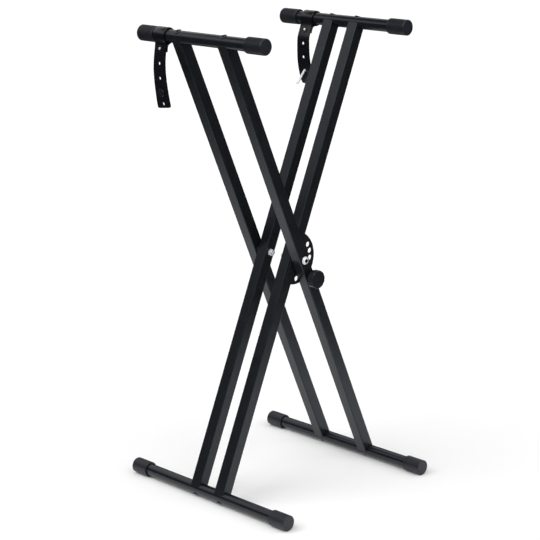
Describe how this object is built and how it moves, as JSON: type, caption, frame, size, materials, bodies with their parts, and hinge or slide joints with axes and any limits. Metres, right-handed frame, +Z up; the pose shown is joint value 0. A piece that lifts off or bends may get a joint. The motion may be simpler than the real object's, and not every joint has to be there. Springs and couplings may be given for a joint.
{
  "type": "keyboard stand",
  "caption": "Folding double-braced X keyboard stand with rubber-capped arms and feet, half-moon stop plate, spring-loaded pull knob and rubber arm straps.",
  "frame": {"origin": "on the floor, under the pivot and halfway between the feet", "axes": "+Z up; Y along the arm and foot tubes and the pivot bolts, the knob on the -Y side; +X to the right seen from the knob side"},
  "size_m": [0.4524, 0.468, 0.9912],
  "materials": {
    "leg_paint": "satin black powder coat on square steel tube",
    "tube_paint": "satin black powder coat on round steel tube",
    "plate_paint": "satin black powder coat on steel plate",
    "cap_rubber": "matt black rubber",
    "black_screws": "black oxide steel",
    "strap_rubber": "semi-matt black rubber",
    "knob_plastic": "fine-grained black plastic",
    "button_plastic": "black plastic",
    "eyelet_metal": "black lacquered metal",
    "nylon": "black nylon",
    "blue_nylon": "blue nylon ring of a lock nut",
    "peg_steel": "bright steel wire",
    "spring_steel": "bright spring steel",
    "barrel_steel": "black steel barrel",
    "zinc_steel": "bright zinc-plated steel"
  },
  "bodies": {
    "inner_frame": {"inner_front_leg": "leg_paint", "inner_rear_leg": "leg_paint", "right_arm_tube": "tube_paint", "left_foot_tube": "tube_paint", "lock_plate": "plate_paint", "right_arm_plugs": "zinc_steel", "left_foot_plugs": "zinc_steel", "right_arm_screws": "black_screws", "left_foot_screws": "black_screws", "right_arm_front_cap": "cap_rubber", "right_arm_rear_cap": "cap_rubber", "left_foot_front_cap": "cap_rubber", "left_foot_rear_cap": "cap_rubber", "inner_pivot_sleeves": "zinc_steel", "front_pivot_bolt": "zinc_steel", "front_pivot_nut": "zinc_steel", "front_pivot_nut_ring": "blue_nylon", "front_pivot_washers": "nylon", "rear_pivot_bolt": "zinc_steel", "rear_pivot_nut": "zinc_steel", "rear_pivot_nut_ring": "blue_nylon", "rear_pivot_washers": "nylon", "front_leg_spacer": "nylon", "rear_leg_spacer": "nylon"},
    "outer_frame": {"outer_front_leg": "leg_paint", "outer_rear_leg": "leg_paint", "left_arm_tube": "tube_paint", "right_foot_tube": "tube_paint", "left_arm_plugs": "zinc_steel", "right_foot_plugs": "zinc_steel", "left_arm_screws": "black_screws", "right_foot_screws": "black_screws", "left_arm_front_cap": "cap_rubber", "left_arm_rear_cap": "cap_rubber", "right_foot_front_cap": "cap_rubber", "right_foot_rear_cap": "cap_rubber", "outer_pivot_sleeves": "zinc_steel", "plunger_barrel": "barrel_steel", "pin_guide_bush": "nylon"},
    "lock_knob": {"lock_pin": "zinc_steel", "pull_knob": "knob_plastic", "plunger_spring": "spring_steel"},
    "left_strap_body": {"left_strap": "strap_rubber", "left_strap_eyelet": "eyelet_metal", "left_strap_button": "button_plastic"},
    "right_strap_body": {"right_strap": "strap_rubber", "right_strap_eyelet": "eyelet_metal", "right_strap_peg": "peg_steel"}
  },
  "joints": [
    {"name": "fold", "type": "hinge", "parent": "inner_frame", "child": "outer_frame", "pos_m": [0, 0, 0.49887], "axis": [0, 1, 0], "range_deg": [-97.5, 42]},
    {"name": "knob_pull", "type": "slide", "parent": "outer_frame", "child": "lock_knob", "axis": [0, -1, 0], "range_m": [0, 0.007], "stiffness_N_per_m": 1500, "springref_m": -0.004, "deforming": ["plunger_spring"]},
    {"name": "left_strap_swing", "type": "hinge", "parent": "outer_frame", "child": "left_strap_body", "pos_m": [-0.20675, 0.1132, 0.97437], "axis": [0, 1, 0], "range_deg": [-20, 30]},
    {"name": "right_strap_swing", "type": "hinge", "parent": "inner_frame", "child": "right_strap_body", "pos_m": [0.20675, 0.0975, 0.97437], "axis": [0, 1, 0], "range_deg": [-30, 15]}
  ]
}
